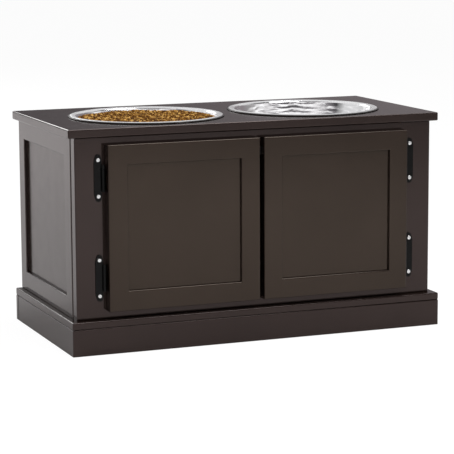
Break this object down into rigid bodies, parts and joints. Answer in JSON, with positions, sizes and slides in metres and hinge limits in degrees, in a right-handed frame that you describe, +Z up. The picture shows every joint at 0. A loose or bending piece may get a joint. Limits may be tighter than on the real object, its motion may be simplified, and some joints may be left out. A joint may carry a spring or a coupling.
{
  "type": "elevated pet feeder",
  "caption": "Raised dog feeder: a low painted cabinet with overlay doors on a plinth, its top board holding lift-out round steel bowls.",
  "frame": {"origin": "on the floor, in the middle of the width and of the overall depth", "axes": "+X along the width to the viewer's right, +Y from the doors to the back, +Z up"},
  "size_m": [0.602, 0.3056, 0.3384],
  "materials": {
    "painted_wood": "satin dark brown paint",
    "bare_wood": "sawn, unfinished",
    "hinge_black": "semi-gloss black",
    "bright_screws": "bright plated",
    "zinc_fasteners": "zinc plated",
    "strike_steel": "zinc plated",
    "catch_plastic": "moulded, fine grain",
    "bowl_steel": "polished stainless steel",
    "dry_food": "rough baked pieces"
  },
  "bodies": {
    "cabinet": {"back_panel": "painted_wood", "back_panel_nails": "zinc_fasteners", "cabinet_dowels": "bare_wood", "centre_stretcher": "painted_wood", "door_catch": "catch_plastic", "door_catch_screws": "zinc_fasteners", "face_frame_bottom_rail": "painted_wood", "face_frame_left_stile": "painted_wood", "face_frame_right_stile": "painted_wood", "face_frame_top_rail": "painted_wood", "hinge_frame_screws": "bright_screws", "hinge_pins": "hinge_black", "left_lower_hinge_frame_wing": "hinge_black", "left_side_bottom_rail": "painted_wood", "left_side_front_stile": "painted_wood", "left_side_panel": "painted_wood", "left_side_rear_stile": "painted_wood", "left_side_top_rail": "painted_wood", "left_upper_hinge_frame_wing": "hinge_black", "plinth_back_skirt": "painted_wood", "plinth_front_skirt": "painted_wood", "plinth_glue_blocks": "bare_wood", "plinth_left_skirt": "painted_wood", "plinth_right_skirt": "painted_wood", "plinth_shelf": "painted_wood", "rear_top_rail": "painted_wood", "right_lower_hinge_frame_wing": "hinge_black", "right_side_bottom_rail": "painted_wood", "right_side_front_stile": "painted_wood", "right_side_panel": "painted_wood", "right_side_rear_stile": "painted_wood", "right_side_top_rail": "painted_wood", "right_upper_hinge_frame_wing": "hinge_black", "shelf_screws": "zinc_fasteners", "top_board": "painted_wood", "top_board_screws": "zinc_fasteners"},
    "left_door": {"left_door_bottom_rail": "painted_wood", "left_door_dowels": "bare_wood", "left_door_hinge_screws": "zinc_fasteners", "left_door_left_stile": "painted_wood", "left_door_panel": "painted_wood", "left_door_right_stile": "painted_wood", "left_door_strike": "strike_steel", "left_door_top_rail": "painted_wood", "left_lower_hinge_door_wing": "hinge_black", "left_upper_hinge_door_wing": "hinge_black"},
    "right_door": {"right_door_bottom_rail": "painted_wood", "right_door_dowels": "bare_wood", "right_door_hinge_screws": "zinc_fasteners", "right_door_left_stile": "painted_wood", "right_door_panel": "painted_wood", "right_door_right_stile": "painted_wood", "right_door_strike": "strike_steel", "right_door_top_rail": "painted_wood", "right_lower_hinge_door_wing": "hinge_black", "right_upper_hinge_door_wing": "hinge_black"},
    "left_bowl": {"dry_food": "dry_food", "left_bowl": "bowl_steel"},
    "right_bowl": {"right_bowl": "bowl_steel"}
  },
  "joints": [
    {"name": "left_door_hinge", "type": "hinge", "parent": "cabinet", "child": "left_door", "pos_m": [-0.2471, -0.14025, 0.1875], "axis": [0, 0, -1], "range_deg": [0, 110]},
    {"name": "right_door_hinge", "type": "hinge", "parent": "cabinet", "child": "right_door", "pos_m": [0.2471, -0.14025, 0.1875], "axis": [0, 0, 1], "range_deg": [0, 110]},
    {"name": "left_bowl_lift", "type": "slide", "parent": "cabinet", "child": "left_bowl", "axis": [0, 0, 1], "range_m": [0, 0.12]},
    {"name": "right_bowl_lift", "type": "slide", "parent": "cabinet", "child": "right_bowl", "axis": [0, 0, 1], "range_m": [0, 0.12]}
  ]
}
